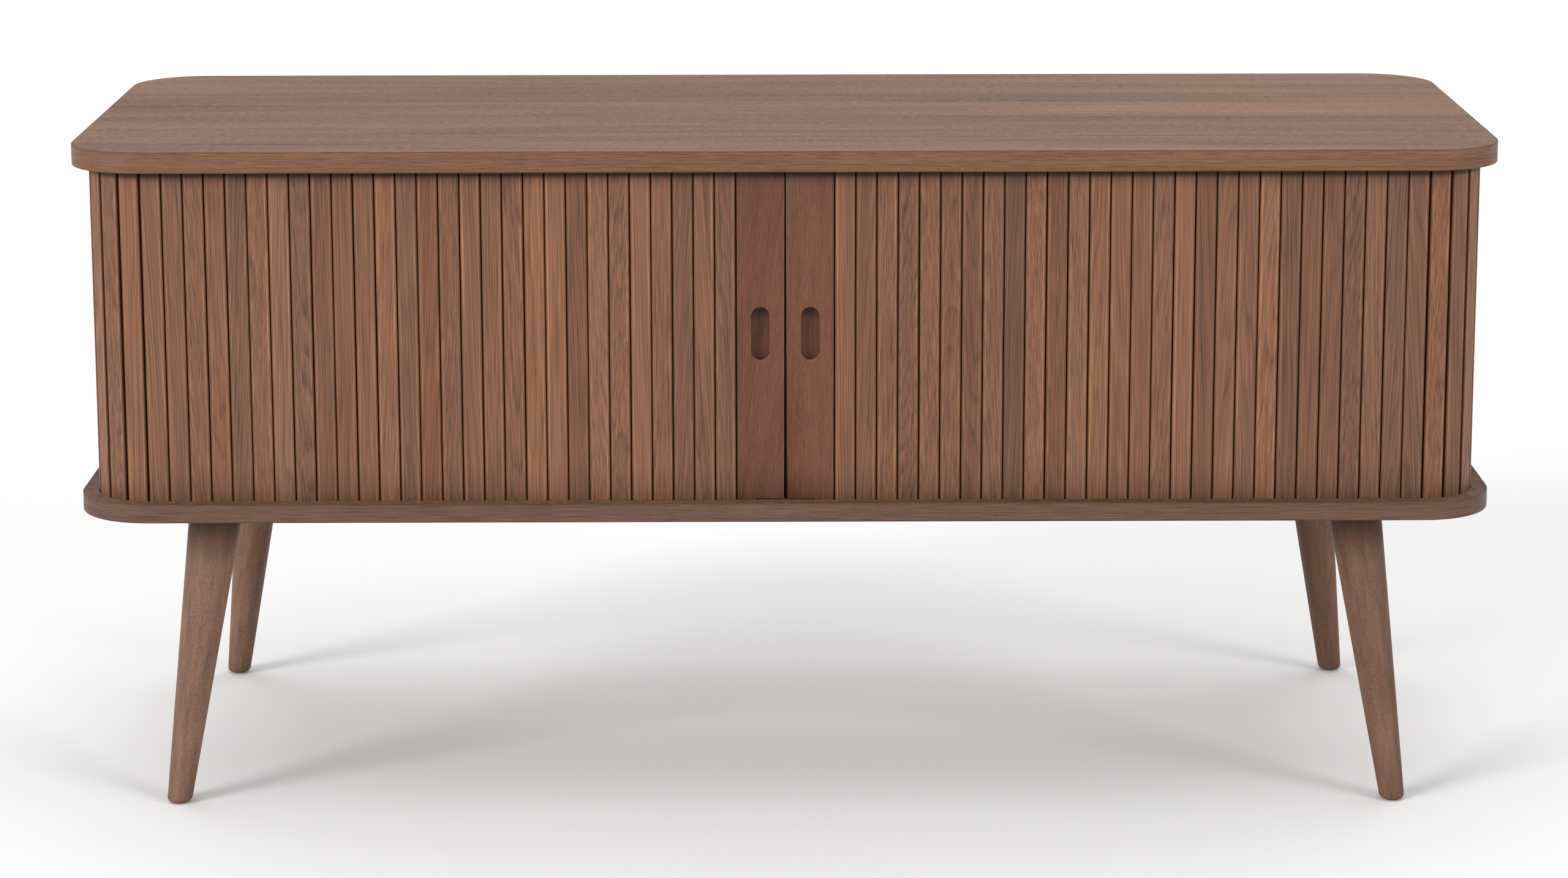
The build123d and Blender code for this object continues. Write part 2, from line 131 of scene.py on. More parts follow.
def summed(tree, a, b):
    """The sum of two vectors."""
    return make(tree, "VectorMath", {0: a, 1: b}, operation="ADD").outputs[0]


def scaled(tree, vector, factors):
    """A vector multiplied by three factors."""
    return make(tree, "VectorMath", {0: vector, 1: factors}, operation="MULTIPLY").outputs[0]


def stretched(tree, vector, factor):
    """A vector multiplied by one value."""
    return make(tree, "VectorMath", {0: vector, "Scale": factor}, operation="SCALE").outputs[0]


def noise(tree, vector, amount, along, across, detail=2.0, roughness=0.5):
    """Noise about zero, in features so many millimetres long (along X) and wide."""
    factors = (1 / (along * MM), 1 / (across * MM), 1 / (across * MM))
    inputs = {
        "Vector": scaled(tree, vector, factors),
        "Scale": 1.0,
        "Detail": detail,
        "Roughness": roughness,
    }
    value = make(tree, "TexNoise", inputs).outputs[0]
    return calc(tree, "MULTIPLY_ADD", value, amount, -amount / 2)


def spread(tree, value, low, high, to_low=0.0, to_high=1.0):
    """A value moved from one range to another, and held inside it."""
    inputs = {
        "Value": value,
        "From Min": low,
        "From Max": high,
        "To Min": to_low,
        "To Max": to_high,
    }
    return make(tree, "MapRange", inputs).outputs[0]


def fade(tree, value, start, end, amount=1.0):
    """An amount up to the start, and nothing from the end on."""
    return spread(tree, value, start, end, amount, 0.0)


def blend_colours(tree, factor, a, b):
    """One colour mixed over another. The Mix node's own colour sockets are numbers 6, 7 and 2."""
    return make(tree, "Mix", {0: factor, 6: a, 7: b}, data_type="RGBA").outputs[2]


def tinted(tree, colour, tint, share):
    """A colour moved towards its product with a tint, by a share."""
    return blend_colours(tree, share, colour, scaled(tree, colour, tint))


def object_place(tree):
    """Place within the whole cabinet, in metres."""
    return make(tree, "TexCoord").outputs["Object"]


def split(tree, vector):
    """A vector's X, Y and Z sockets."""
    return make(tree, "SeparateXYZ", {0: vector}).outputs


def add_relief(tree, shader, height, strength, depth):
    """Fine relief from a height; its depth is in millimetres."""
    bump = make(tree, "Bump", {"Height": height, "Strength": strength, "Distance": depth * MM})
    feed(tree, shader.inputs["Normal"], bump.outputs[0])


def rgb(colour, factor):
    """A colour as four numbers, brightened by a factor."""
    return [channel * factor for channel in colour] + [1.0]


def new_material(name):
    """A node material, with its tree and its main shader."""
    material = bpy.data.materials.new(name)
    material.use_nodes = True
    return material, material.node_tree, material.node_tree.nodes["Principled BSDF"]


# Wood ------------------------------------------------------------------------------------------

# What one unit of level or hue adds to each channel, as a share of the colour
SHADE_TINT = (0.94, 1.0, 1.06)
HUE_TINT = (0.60, 0.25, -0.75)

# What the colour is multiplied by where it is worn, in a pore, in painted shade, or in the painted
# highlight on a pull's lower lip
WORN_TINT = (1.76, 1.76, 1.38)
PORE_TINT = (0.52, 0.48, 0.46)
PAINTED_SHADE_TINT = (0.27, 0.20, 0.10)
LIP_HIGHLIGHT_TINT = (2.4, 3.2, 3.6)

# How far the growth rings wander: (metres, length along the grain and width in millimetres)
RING_BEND = (20 * MM, 400, 30)
RING_RIPPLE = (1.2 * MM, 140, 8)

# Each ring darkens by this power up to this share of its width, and its dark part is so many times
# deeper than the rest is pale
LATE_WOOD_POWER = 3.5
LATE_WOOD_END = 0.85
LATE_WOOD_DEPTH = 3

# A size is a length along the grain and a width, in millimetres
HUE_SIZE = (60, 2)
WORN_PATCH_SIZE = (90, 3)

# What spread() takes: the range from, and the range to, if that isn't 0 to 1
PORE_EDGE = (0.05, 0.17)
PORE_SHARE_BY_LEVEL = (0.10, -0.10, 0.4, 1.0)
WORN_SHARE_BY_PATCH = (-0.15, 0.10, 0.35, 1.0)

FIBRE_ROUGHNESS = 0.6
ROUGHNESS_BY_FIBRE = -0.1
ROUGHNESS_BY_PORE = 0.10
PORE_RELIEF = -0.5

# A finger pull: painted shade that fades out below its shoulder and begins a little inside its mouth,
# and where the painted highlight on its lower lip begins and ends to the sides, upwards and inwards
PULL_SHADE = (PULL_SHOULDER_Z, PULL_SHOULDER_Z - 8 * MM, 0.8)
PULL_MOUTH = (-PATH_Y + 2 * MM, -PATH_Y + 5 * MM)
LIP_SIDES = (5 * MM, 9 * MM)
LIP_HEIGHT = (PULL_FOOT_Z, PULL_FOOT_Z + 2 * MM)
LIP_FRONT = (-PATH_Y, -PATH_Y + 0.15 * MM)
LIP_BACK = (-PATH_Y + 2 * MM, -PATH_Y + 6.5 * MM)


def board_vector(tree, grain_axis, turn):
    """Place within the whole cabinet, with X turned to run along the grain."""
    rotation = {"x": (0, 0, turn), "z": (0, math.pi / 2 + turn, 0)}[grain_axis]
    inputs = {"Vector": object_place(tree), "Rotation": rotation}
    return make(tree, "Mapping", inputs).outputs[0]


def late_wood(tree, vector, ring, heart):
    """The dark part of each growth ring, cut lengthwise, from 0 to 1.

    The rings lie round the heart of the log, and wander slowly along the grain."""
    centred = summed(tree, vector, (0, heart[0] * MM, heart[1] * MM))
    across = scaled(tree, centred, (0, 1, 1))
    radius = make(tree, "VectorMath", {0: across}, operation="LENGTH").outputs["Value"]
    radius = calc(tree, "ADD", radius, noise(tree, vector, *RING_BEND))
    radius = calc(tree, "ADD", radius, noise(tree, vector, *RING_RIPPLE, detail=1))
    phase = calc(tree, "FRACT", calc(tree, "DIVIDE", radius, ring * MM))
    late = calc(tree, "POWER", phase, LATE_WOOD_POWER)
    return product(tree, late, fade(tree, phase, LATE_WOOD_END, 1.0))


def varied(tree, colour, level, hue):
    """A colour made paler by a level and warmer by a hue; both are about zero."""
    change = summed(tree, stretched(tree, SHADE_TINT, level), stretched(tree, HUE_TINT, hue))
    return scaled(tree, summed(tree, change, (1, 1, 1)), colour)


def pore_marks(tree, vector, size, level):
    """Where the pores are, from 0 to 1, fainter in pale wood."""
    pore = spread(tree, noise(tree, vector, 1.0, *size, detail=1), *PORE_EDGE)
    return product(tree, pore, spread(tree, level, *PORE_SHARE_BY_LEVEL))


def wear_marks(tree, vector):
    """Where the arrises are worn, from the mesh's own wear, in patches along the grain."""
    wear = make(tree, "Attribute", attribute_name="wear").outputs["Fac"]
    patch = noise(tree, vector, 1.0, *WORN_PATCH_SIZE, detail=3)
    return product(tree, wear, spread(tree, patch, *WORN_SHARE_BY_PATCH))


def with_painted_shade(tree, body, painted_shade):
    """The wood's colour with painted shade, darker where boards meet."""
    height = split(tree, object_place(tree))["Z"]
    for stretch in painted_shade:
        body = tinted(tree, body, PAINTED_SHADE_TINT, fade(tree, height, *stretch))
    return body


def pull_painted_light(tree, body):
    """Painted shade under the shoulder of a finger pull, and a painted highlight on its lower lip."""
    place = split(tree, object_place(tree))
    shade = fade(tree, place["Z"], *PULL_SHADE)
    shade = product(tree, shade, spread(tree, place["Y"], *PULL_MOUTH))
    body = tinted(tree, body, PAINTED_SHADE_TINT, shade)
    off_middle = calc(tree, "SUBTRACT", calc(tree, "ABSOLUTE", place["X"]), PULL_X)
    sides = fade(tree, calc(tree, "ABSOLUTE", off_middle), *LIP_SIDES)
    height = fade(tree, place["Z"], *LIP_HEIGHT)
    front = spread(tree, place["Y"], *LIP_FRONT)
    back = fade(tree, place["Y"], *LIP_BACK)
    return tinted(tree, body, LIP_HIGHLIGHT_TINT, product(tree, sides, height, front, back))


def wood(
    name,
    colour,
    layers,
    grain_axis=None,
    turn=0.0,
    figure=0.10,
    ring=2.6,
    heart=(30, 50),
    hue=0.4,
    pores=0.5,
    pore_size=(5.5, 0.6),
    roughness=0.5,
    specular=0.25,
    worn=False,
    painted_shade=(),
    has_pull=False,
):
    """Satin-lacquered wood: layers of fibre noise, growth rings, pores and worn arrises.

    A layer is (amount, length along the grain, width), the finest first, and lengths are in
    millimetres. With no grain_axis, the grain and tone come from the mesh's own attributes. Painted
    shade is a list of (height, height where it ends, amount at the first). A stile has_pull, which
    gets painted shade under its shoulder and a painted highlight on its lower lip."""
    material, tree, shader = new_material(name)
    if grain_axis:
        vector = board_vector(tree, grain_axis, turn)
    else:
        vector = make(tree, "Attribute", attribute_name="grain").outputs["Vector"]

    fibres = [noise(tree, vector, *layer, roughness=FIBRE_ROUGHNESS) for layer in layers]
    late = late_wood(tree, vector, ring, heart)
    level = calc(tree, "MULTIPLY_ADD", late, -figure * LATE_WOOD_DEPTH, figure)
    for fibre in fibres:
        level = calc(tree, "ADD", level, fibre)
    body = varied(tree, colour, level, noise(tree, vector, hue, *HUE_SIZE))
    pore = pore_marks(tree, vector, pore_size, level)
    body = tinted(tree, body, PORE_TINT, product(tree, pore, pores))

    if not grain_axis:
        body = scaled(tree, body, make(tree, "Attribute", attribute_name="tone").outputs["Vector"])
    if worn:
        body = tinted(tree, body, WORN_TINT, wear_marks(tree, vector))
    # Painted shade near the boards, and painted shade and a painted highlight in a stile's pull
    if painted_shade:
        body = with_painted_shade(tree, body, painted_shade)
    if has_pull:
        body = pull_painted_light(tree, body)
    feed(tree, shader.inputs["Base Color"], body)

    gloss = calc(tree, "MULTIPLY_ADD", fibres[1], ROUGHNESS_BY_FIBRE, roughness)
    gloss = calc(tree, "MULTIPLY_ADD", pore, ROUGHNESS_BY_PORE, gloss)
    feed(tree, shader.inputs["Roughness"], gloss)
    shader.inputs["Specular IOR Level"].default_value = specular
    relief = calc(tree, "MULTIPLY_ADD", pore, PORE_RELIEF, fibres[0])
    add_relief(tree, shader, relief, strength=0.3, depth=0.15)
    return material


# Cloth, metal and plastic ----------------------------------------------------------------------

# A wave texture at scale 1 has its bands math.tau / WAVE_RATE apart
WAVE_RATE = 20
THREAD_PITCH = 1.2 * MM
SLUB_SIZE = (12, 3)
WEAVE_SHARE = 0.6
CLOTH_SHARE = 0.25
CLOTH_TONES = (0.55, 1.35)
MOTTLE_SIZE = (4, 4)
MOTTLE_EDGE = (0.3, 0.7)
MOTTLE_ROUGHNESS = 0.07
METAL_TONES = (0.8, 1.15)
PIT_SIZE = (0.6, 0.6)
PLASTIC_TONES = (0.85, 1.2)


def two_tone(tree, share, colour, tones):
    """A colour that runs between two tones of itself."""
    return blend_colours(tree, share, rgb(colour, tones[0]), rgb(colour, tones[1]))


def canvas_cloth(name, colour):
    """Brown cotton canvas, plain woven."""
    material, tree, shader = new_material(name)
    at = split(tree, object_place(tree))
    along = calc(tree, "ADD", at["X"], at["Y"])
    place = make(tree, "CombineXYZ", {"X": along, "Z": at["Z"]}).outputs[0]
    scale = math.tau / (WAVE_RATE * THREAD_PITCH)
    wave = {"Vector": place, "Scale": scale, "Distortion": 1.5, "Detail": 1.0}
    threads = [make(tree, "TexWave", wave, bands_direction=axis).outputs[1] for axis in ("X", "Z")]
    weave = product(tree, *threads)
    slub = noise(tree, place, 1.0, *SLUB_SIZE, detail=3)
    yarn = calc(tree, "MULTIPLY_ADD", weave, WEAVE_SHARE, CLOTH_SHARE)
    cloth = two_tone(tree, calc(tree, "ADD", yarn, slub), colour, CLOTH_TONES)
    feed(tree, shader.inputs["Base Color"], cloth)
    shader.inputs["Roughness"].default_value = 0.9
    shader.inputs["Sheen Weight"].default_value = 0.25
    add_relief(tree, shader, weave, strength=0.5, depth=0.2)
    return material


def metal(name, colour, roughness, metallic=1.0):
    """Plated or powder-coated metal, with faint mottling."""
    material, tree, shader = new_material(name)
    mottle = noise(tree, object_place(tree), 1.0, *MOTTLE_SIZE, detail=4)
    mottle = calc(tree, "ADD", mottle, 0.5)
    rough = (roughness - MOTTLE_ROUGHNESS, roughness + MOTTLE_ROUGHNESS)
    feed(tree, shader.inputs["Base Color"], two_tone(tree, mottle, colour, METAL_TONES))
    feed(tree, shader.inputs["Roughness"], spread(tree, mottle, *MOTTLE_EDGE, *rough))
    shader.inputs["Metallic"].default_value = metallic
    add_relief(tree, shader, mottle, strength=0.15, depth=0.1)
    return material


def moulded(name, colour):
    """Matt moulded plastic with a fine spark-eroded grain."""
    material, tree, shader = new_material(name)
    pits = noise(tree, object_place(tree), 1.0, *PIT_SIZE, detail=3)
    pits = calc(tree, "ADD", pits, 0.5)
    feed(tree, shader.inputs["Base Color"], two_tone(tree, pits, colour, PLASTIC_TONES))
    shader.inputs["Roughness"].default_value = 0.55
    add_relief(tree, shader, pits, strength=0.3, depth=0.1)
    return material


# The cabinet's materials -----------------------------------------------------------------------

WALNUT = (0.123, 0.0555, 0.0296)
TOP_WALNUT = (0.131, 0.064, 0.038)
EDGE_WALNUT = (0.123, 0.056, 0.028)
# Darker copies of the band's and the top's walnut for the low edge band and the bottom board: painted
# shade, as the lower front gets less light
SHADED_LOW_EDGE_WALNUT = (0.091, 0.046, 0.030)
SHADED_BOTTOM_WALNUT = (0.108, 0.057, 0.035)
STILE_WALNUT = {"left": (0.091, 0.034, 0.017), "right": (0.099, 0.037, 0.019)}
PANEL_WALNUT = (0.120, 0.056, 0.031)
LEG_STAIN = (0.142, 0.074, 0.046)
BEECH = (0.42, 0.28, 0.17)

# Layers of fibre: (amount, length along the grain, width), the lengths in millimetres
SLAT_GRAIN = [(1.90, 90, 0.7), (1.00, 160, 1.8), (0.35, 240, 10)]
TOP_GRAIN = [(3.10, 6, 1.1), (0.70, 140, 9), (1.70, 900, 65)]
EDGE_GRAIN = [(1.70, 20, 0.7), (0.75, 160, 3), (0.40, 400, 12)]
LOW_EDGE_GRAIN = [(1.70, 30, 0.8), (0.50, 140, 3), (0.35, 400, 12)]
STILE_GRAIN = [(1.20, 7, 0.5), (0.60, 60, 2.6), (0.80, 110, 14)]
LEG_GRAIN = [(1.10, 2.0, 1.2), (0.70, 40, 5), (0.70, 70, 18)]
PANEL_GRAIN = [(0.60, 30, 1.6), (0.50, 200, 7), (0.40, 600, 40)]

# Where the heart of the log lies, in millimetres across and into the board, and how far the grain
# turns in each stile, in radians
STILE_HEART = {"left": (300, 200), "right": (200, 200)}
STILE_TURN = {"left": -0.14, "right": -0.01}
BOARD_HEART = (300, 50)

# Painted shade on the slats and stiles: a dark band just under the top, a softer one below it, and a
# faint one just above the bottom board
TRACK_PAINTED_SHADE = [
    (CEILING_Z - 4.2 * MM, CEILING_Z - 7.6 * MM, 1.0),
    (CEILING_Z - 5 * MM, CEILING_Z - 16 * MM, 0.22),
    (FLOOR_Z + 5 * MM, FLOOR_Z + 32 * MM, 0.28),
]
# Painted shade at the top of each leg under the bottom board, and faintly towards its foot
LEG_PAINTED_SHADE = [(LEG_TOP_Z, LEG_TOP_Z - 48 * MM, 1.0), (0, 60 * MM, 0.17)]

TOP = wood(
    "top_veneer",
    TOP_WALNUT,
    TOP_GRAIN,
    "x",
    ring=5,
    heart=BOARD_HEART,
    hue=0.28,
    pores=0.3,
    roughness=0.66,
    specular=0.5,
)
BOTTOM = wood("bottom_veneer", SHADED_BOTTOM_WALNUT, TOP_GRAIN, "x", ring=5, heart=BOARD_HEART, roughness=0.6)
EDGE = wood("edge_veneer", EDGE_WALNUT, EDGE_GRAIN, heart=(50, 20))
LOW_EDGE = wood("low_edge_veneer", SHADED_LOW_EDGE_WALNUT, LOW_EDGE_GRAIN, figure=0.06)
SLAT = wood(
    "slat_walnut",
    WALNUT,
    SLAT_GRAIN,
    ring=1.8,
    figure=0.17,
    hue=0.28,
    pores=0.1,
    pore_size=(9, 0.4),
    worn=True,
    painted_shade=TRACK_PAINTED_SHADE,
)
STILES = {
    side_name: wood(
        f"{side_name}_stile_walnut",
        STILE_WALNUT[side_name],
        STILE_GRAIN,
        "z",
        turn=STILE_TURN[side_name],
        heart=STILE_HEART[side_name],
        hue=0.3,
        pores=0.25,
        painted_shade=TRACK_PAINTED_SHADE,
        has_pull=True,
    )
    for side_name in SIDES
}
LEG = wood("leg_stain", LEG_STAIN, LEG_GRAIN, figure=0.02, pores=0.2, roughness=0.55, painted_shade=LEG_PAINTED_SHADE)
PANEL_X = wood("panel_veneer_along", PANEL_WALNUT, PANEL_GRAIN, "x", ring=4)
PANEL_Z = wood("panel_veneer_up", PANEL_WALNUT, PANEL_GRAIN, "z", ring=4)
BACK = wood("back_veneer", PANEL_WALNUT, PANEL_GRAIN, "x", ring=6, roughness=0.6)
RAW = wood("raw_beech", BEECH, LEG_GRAIN, "z", figure=0.03, pores=0.2)
CANVAS = canvas_cloth("brown_canvas", (0.085, 0.058, 0.038))
ZINC = metal("zinc_steel", (0.55, 0.55, 0.56), 0.35)
BLACK_STEEL = metal("black_steel", (0.02, 0.02, 0.02), 0.5, metallic=0.0)
BRASS = metal("insert_brass", (0.65, 0.48, 0.2), 0.35)
BLACK = moulded("black_plastic", (0.022, 0.020, 0.019))
GLIDE = moulded("glide_plastic", (0.10, 0.06, 0.04))

# Mesh helpers ----------------------------------------------------------------------------------

SHARP_ANGLE = math.radians(50)


def finish_piece(name, mesh, body, slot, material, *nodes):
    """Put a mesh in the scene as a piece that stands for some CAD nodes."""
    piece = bpy.data.objects.new(name, mesh)
    bpy.context.scene.collection.objects.link(piece)
    mesh.materials.clear()
    mesh.materials.append(material)
    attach(piece, body)
    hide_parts(*nodes)
    return piece


def build_mesh(name, points, faces, attributes=None):
    """A smooth mesh with sharp edges, its faces out. An attribute has a value for each point."""
    mesh = bpy.data.meshes.new(name)
    mesh.from_pydata([tuple(p) for p in points], [], faces)
    for key, values in (attributes or {}).items():
        values = np.array(values, np.float32)
        kind, field = ("FLOAT_VECTOR", "vector") if values.ndim == 2 else ("FLOAT", "value")
        mesh.attributes.new(key, kind, "POINT").data.foreach_set(field, values.ravel())
    mesh.validate()
    build = bmesh.new()
    build.from_mesh(mesh)
    bmesh.ops.recalc_face_normals(build, faces=build.faces)
    build.to_mesh(mesh)
    build.free()
    mesh.shade_smooth()
    mesh.set_sharp_from_angle(angle=SHARP_ANGLE)
    return mesh


def tube_faces(first, count, rows):
    """Faces between closed rows of points that follow each other, each row count points long."""
    faces = []
    for row in range(rows - 1):
        low = first + row * count
        high = low + count
        for i in range(count):
            j = (i + 1) % count
            faces.append((low + i, low + j, high + j, high + i))
    return faces


def end_faces(first, count, rows):
    """The two faces that close the ends of such rows."""
    last = first + (rows - 1) * count
    return [tuple(range(first + count - 1, first - 1, -1)), tuple(range(last, last + count))]


# Tambours --------------------------------------------------------------------------------------

VISIBLE_GAP = 0.6 * MM
EDGE_ROUND = 1.4 * MM
EDGE_DROP = 1.0 * MM
EDGE_STEPS = 6
EDGE_WEAR = 1 / 3
SLAT_ROWS = 9

# The light line that wear leaves past each rounded edge: (millimetres from it, share of the wear)
WORN_LINE = ((0.3, 1.0), (0.8, 0.9), (1.3, 0.2), (2.2, 0.0))

# The tone at the bottom of a groove, painted shade of the gap between slats with some real stain
# gathered there, and how much faster it falls off in red, green and blue
GROOVE_SHADE = 0.34
GROOVE_POWERS = (0.85, 1.1, 1.5)

# Painted shade on the right door's slats, and painted light on the corner slats
PAINTED_DOOR_SHADE = {-1: 1.0, 1: 0.93}
PAINTED_CORNER_LIGHT = (1.16, 1.08, 1.0)

# How slats differ. Width and bow are in millimetres, and the place that a slat is cut from is in
# metres along, across and into the log
WIDTH_LOSS = 0.3
BOW = 0.12
WEAR_RANGE = (0.3, 1.0)
LOG_REACH = (9, 0.06, 0.05)
LEAN_SPREAD = 0.035
TILT_SPREAD = 0.028
LEVEL_SPREAD = 0.11
WARM_SPREAD = 0.026

CANVAS_STEPS = 12


def slat_edge(half, wear):
    """The left part of a slat's section, from its back corner to the end of its worn line."""
    points = [(-half, SLAT_THICKNESS, 0.0, GROOVE_SHADE / 2)]
    for step in range(EDGE_STEPS + 1):
        angle = step / EDGE_STEPS * math.pi / 2
        rise = 1 - math.cos(angle)
        depth = EDGE_DROP * (1 - math.sin(angle))
        shade = GROOVE_SHADE + (1 - GROOVE_SHADE) * rise
        points.append((-half + EDGE_ROUND * rise, depth, wear * rise * EDGE_WEAR, shade))
    for reach, share in WORN_LINE:
        points.append((-half + EDGE_ROUND + reach * MM, 0.0, wear * share, 1.0))
    return points


def slat_section(width, left_wear, right_wear):
    """One slat's section as (across, depth, wear, shade), round from the back left corner."""
    left = slat_edge(width / 2, left_wear)
    right = slat_edge(width / 2, right_wear)
    mirrored = [(-across, depth, wear, shade) for across, depth, wear, shade in reversed(right)]
    return left + [(0.0, 0.0, 0.0, 1.0)] + mirrored


def slat_stations(side, run):
    """(x, y, turn) of each slat's middle on one run of the tambour, outer face on the path."""
    stations = []
    if run == "front":
        for i in range(FRONT_SLATS):
            stations.append((side * (STILE_REACH + (i + 0.5) * PITCH), -PATH_Y, 0.0))
    elif run == "side":
        for i in range(SIDE_SLATS):
            stations.append((side * PATH_X, -ARC_Y + (i + 0.5) * SIDE_PITCH, side * math.pi / 2))
    else:
        end, start = (-1, 0.0) if run == "corner" else (1, math.pi / 2)
        for i in range(CORNER_SLATS):
            turn = start + (i + 0.5) / CORNER_SLATS * math.pi / 2
            x = side * (ARC_X + PATH_RADIUS * math.sin(turn))
            stations.append((x, end * ARC_Y - PATH_RADIUS * math.cos(turn), side * turn))
    return stations


def slat_colour(side, run, draw):
    """One slat's tone, as three factors: its own random tone, with painted shade on the right door and
    painted light on the corners.
    """
    level = PAINTED_DOOR_SHADE[side] * math.exp(draw.gauss(0, LEVEL_SPREAD))
    warm = draw.gauss(0.0, WARM_SPREAD)
    red, green, blue = PAINTED_CORNER_LIGHT if run == "corner" else (1.0, 1.0, 1.0)
    return (red * level * (1 + warm), green * level, blue * level * (1 - warm))


def slat_mesh(name, side, run, draw):
    """Separate slats in one mesh, each cut from its own place in the log and a little uneven."""
    points, faces, grain, tone, wear = [], [], [], [], []
    for x, y, turn in slat_stations(side, run):
        across = Vector((math.cos(turn), math.sin(turn)))
        inwards = Vector((-math.sin(turn), math.cos(turn)))
        width = PITCH - VISIBLE_GAP - draw.uniform(0, WIDTH_LOSS) * MM
        section = slat_section(width, draw.uniform(*WEAR_RANGE), draw.uniform(*WEAR_RANGE))
        along, aside, inside = [draw.uniform(-reach, reach) for reach in LOG_REACH]
        lean, tilt = draw.gauss(0, LEAN_SPREAD), draw.gauss(0, TILT_SPREAD)
        colour = slat_colour(side, run, draw)
        bow = draw.uniform(-BOW, BOW) * MM
        first = len(points)
        for row in range(SLAT_ROWS):
            share = row / (SLAT_ROWS - 1)
            z = front_low.z + share * (front_high.z - front_low.z)
            rise = z - FLOOR_Z
            sway = bow * math.sin(math.pi * share)
            for u, v, worn, shade in section:
                place = across * (u + sway) + inwards * v
                points.append((x + place.x, y + place.y, z))
                grain.append((z + along, u + aside + lean * rise, v + inside + tilt * rise))
                tone.append([channel * shade**power for channel, power in zip(colour, GROOVE_POWERS)])
                wear.append(worn)
        faces += tube_faces(first, len(section), SLAT_ROWS)
        faces += end_faces(first, len(section), SLAT_ROWS)
    return build_mesh(name, points, faces, {"grain": grain, "tone": tone, "wear": wear})


def sheet_mesh(name, path, low, high):
    """A thin closed upright sheet. Its path is a list of (outer x, y), (inner x, y)."""
    points = []
    for outer, inner in path:
        points += [(*outer, low), (*inner, low), (*inner, high), (*outer, high)]
    faces = tube_faces(0, 4, len(path)) + end_faces(0, 4, len(path))
    return build_mesh(name, points, faces)


def front_canvas_path(low, high):
    """The canvas behind the front slats, divided at each slat."""
    steps = [low.x + (high.x - low.x) * i / FRONT_SLATS for i in range(FRONT_SLATS + 1)]
    return [((x, low.y), (x, high.y)) for x in steps]


def tail_canvas_path(side):
    """The canvas behind the slats round the front corner, along the side and round the rear."""
    outer = PATH_RADIUS - SLAT_THICKNESS
    radii = (outer, outer - CANVAS_THICKNESS)
    path = []
    for quarter, centre_y in enumerate((-ARC_Y, ARC_Y)):
        for step in range(CANVAS_STEPS + 1):
            turn = (quarter + step / CANVAS_STEPS) * math.pi / 2
            out_x, out_y = side * math.sin(turn), -math.cos(turn)
            path.append([(side * ARC_X + r * out_x, centre_y + r * out_y) for r in radii])
    return path


def front_run(side_name, side, draw):
    """A door's front slats and their canvas."""
    door, slide = f"{side_name}_door", f"{side_name}_door_slide"

    name = f"{side_name}_front_tambour"
    mesh = slat_mesh(name, side, "front", draw)
    front = finish_piece(name, mesh, door, "slat_walnut", SLAT, f"{side_name}_front_slats")
    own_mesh(front)

    name = f"{side_name}_canvas"
    node = f"{side_name}_front_canvas"
    low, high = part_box(node)
    mesh = sheet_mesh(name, front_canvas_path(low, high), low.z, high.z)
    canvas = finish_piece(name, mesh, door, "canvas", CANVAS, node)
    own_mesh(canvas)


def tail_runs(side_name, side, draw):
    """The slats round the corners and along the side, with one canvas behind them."""
    for run in ("corner", "side", "rear"):
        name = f"{side_name}_{run}_tambour"
        node = f"{side_name}_{run}_slats"
        mesh = slat_mesh(name, side, run, draw)
        finish_piece(name, mesh, "carcass", "slat_walnut", SLAT, node)

    name = f"{side_name}_tail_cloth"
    low, high = canvas_low, canvas_high
    mesh = sheet_mesh(name, tail_canvas_path(side), low.z, high.z)
    tail = finish_piece(name, mesh, "carcass", "canvas", CANVAS, f"{side_name}_tail_canvas")


draw = random.Random(SEED)
for side_name, side in SIDES.items():
    front_run(side_name, side, draw)
    tail_runs(side_name, side, draw)

# Edge bands ------------------------------------------------------------------------------------

ARC_STEPS = 20
ARRIS = 0.8 * MM
ARRIS_STEPS = 4
ARRIS_SHADE = 0.75
ARRIS_FADE = 0.7 * MM


def plan_outline(half_x, half_y):
    """Points round a board from the middle of its back, as (x, y, normal x, normal y, distance)."""
    radius = half_x - ARC_X
    path = [(0.0, half_y, 0.0, 1.0)]
    for quarter, (sign_x, sign_y) in enumerate(((1, 1), (1, -1), (-1, -1), (-1, 1))):
        for step in range(ARC_STEPS + 1):
            angle = math.pi / 2 - (quarter + step / ARC_STEPS) * math.pi / 2
            nx, ny = math.cos(angle), math.sin(angle)
            path.append((sign_x * ARC_X + radius * nx, sign_y * ARC_Y + radius * ny, nx, ny))
    path.append(path[0])
    travelled, distance = [0.0], 0.0
    for (ax, ay, *_), (bx, by, *_) in zip(path, path[1:]):
        distance += math.hypot(bx - ax, by - ay)
        travelled.append(distance)
    return [(*point, along) for point, along in zip(path, travelled)]


def band_section(low, high):
    """The band's section as (inset, height, shade), a closed loop, darker along its arrises."""
    upper = [(BAND, high, 1.0)]
    for step in range(ARRIS_STEPS + 1):
        angle = step / ARRIS_STEPS * math.pi / 2
        inset = ARRIS * (1 - math.sin(angle))
        upper.append((inset, high - ARRIS * (1 - math.cos(angle)), ARRIS_SHADE))
    upper.append((0.0, high - ARRIS - ARRIS_FADE, 1.0))
    middle = (low + high) / 2
    lower = [(inset, 2 * middle - z, shade) for inset, z, shade in reversed(upper)]
    return upper + [(0.0, middle, 1.0)] + lower


